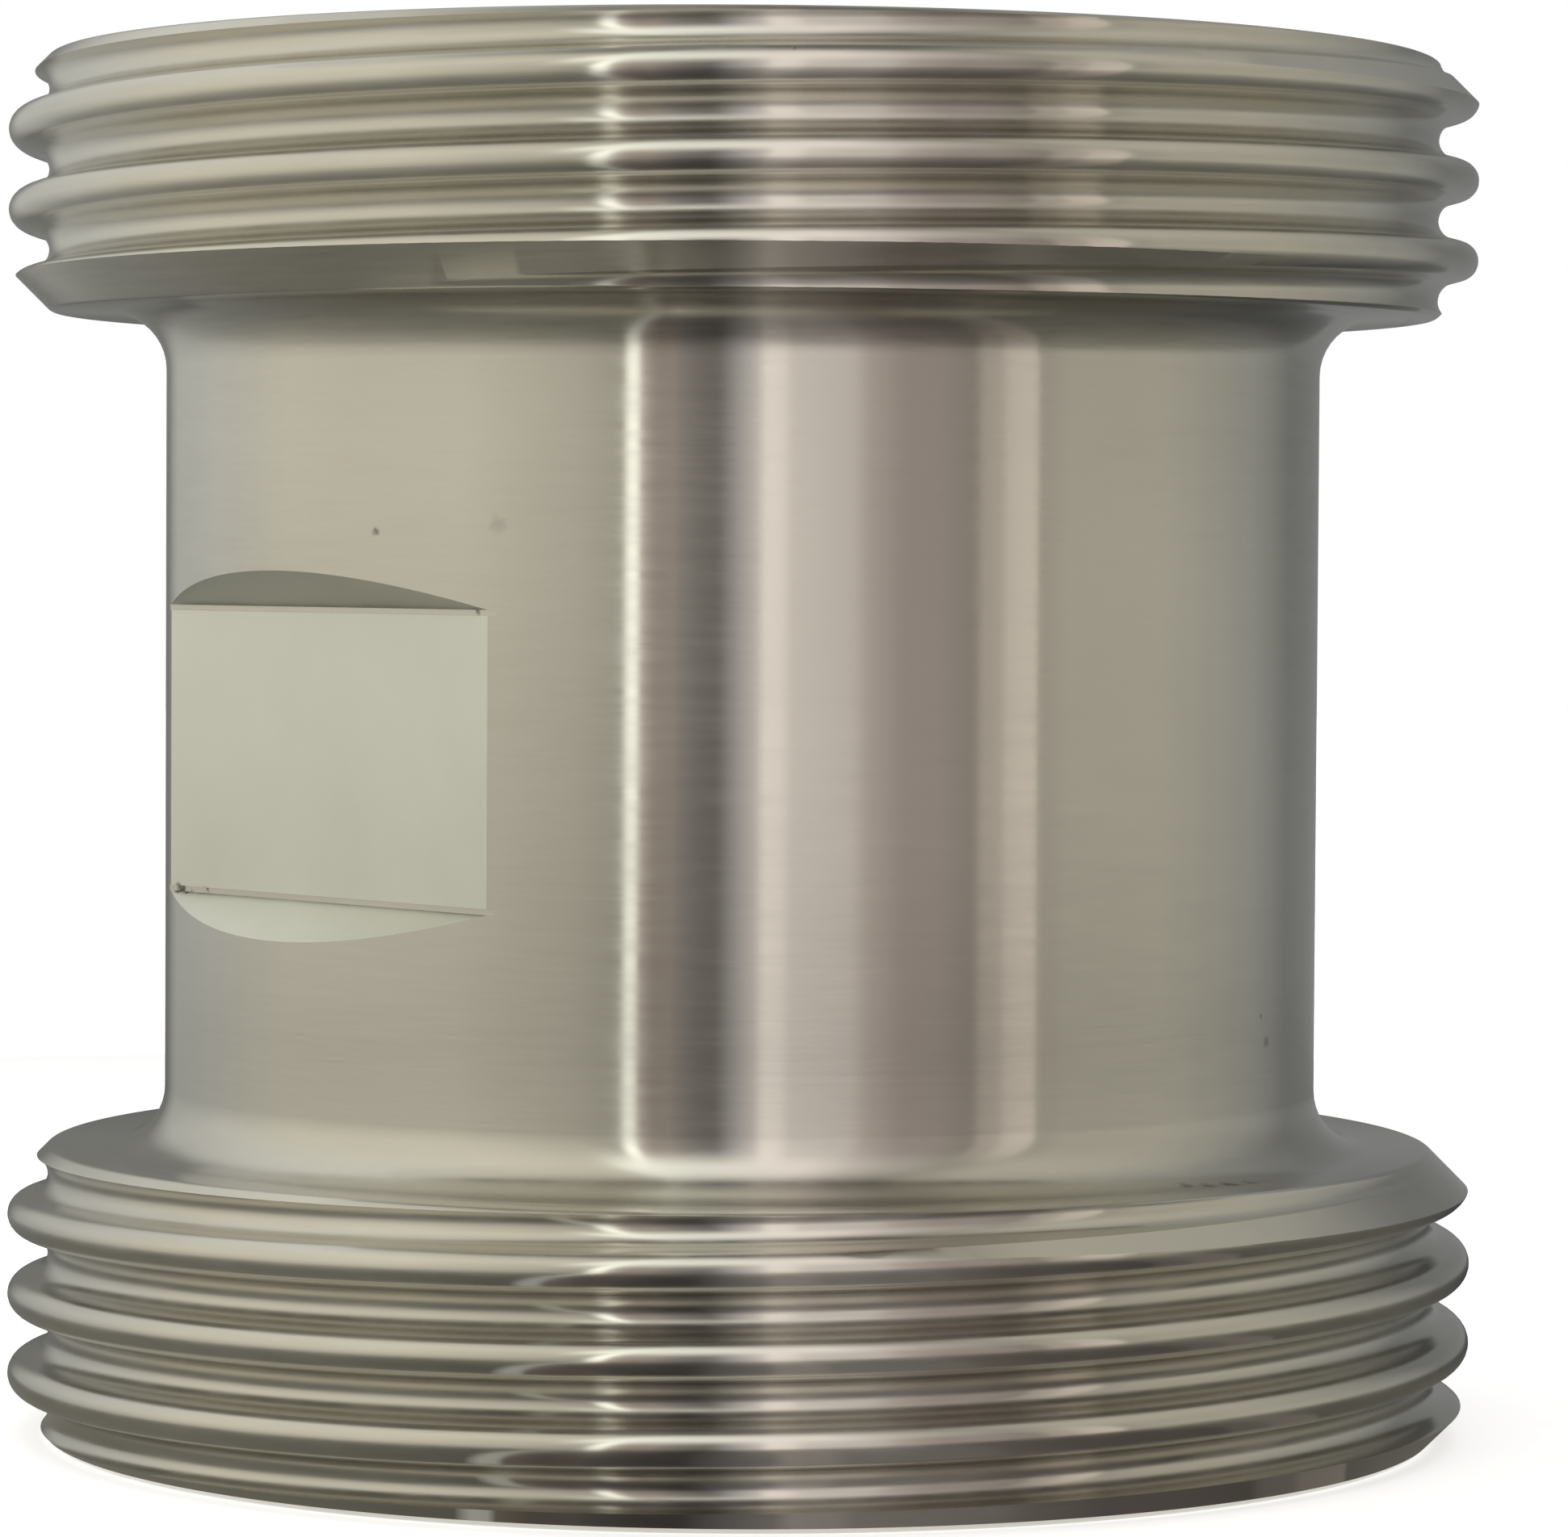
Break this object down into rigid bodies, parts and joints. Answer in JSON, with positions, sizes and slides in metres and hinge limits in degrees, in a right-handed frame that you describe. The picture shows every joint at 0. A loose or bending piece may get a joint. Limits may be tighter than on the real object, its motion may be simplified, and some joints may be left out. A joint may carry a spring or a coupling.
{
  "type": "din to sms adapter",
  "caption": "Turned stainless steel tube adapter: a plain neck with wrench flats between collars with coarse round threads, bored through, a seal seat in each mouth.",
  "frame": {"origin": "centre of the lower collar's end face, on the bore axis", "axes": "+Z along the bore from the SMS end (bottom) to the DIN end (top); the two wrench flats face -Y and +Y"},
  "size_m": [0.078, 0.078, 0.073],
  "materials": {
    "turned_steel": "fine turned stainless steel"
  },
  "bodies": {
    "root": {"adapter_body": "turned_steel"}
  },
  "joints": []
}
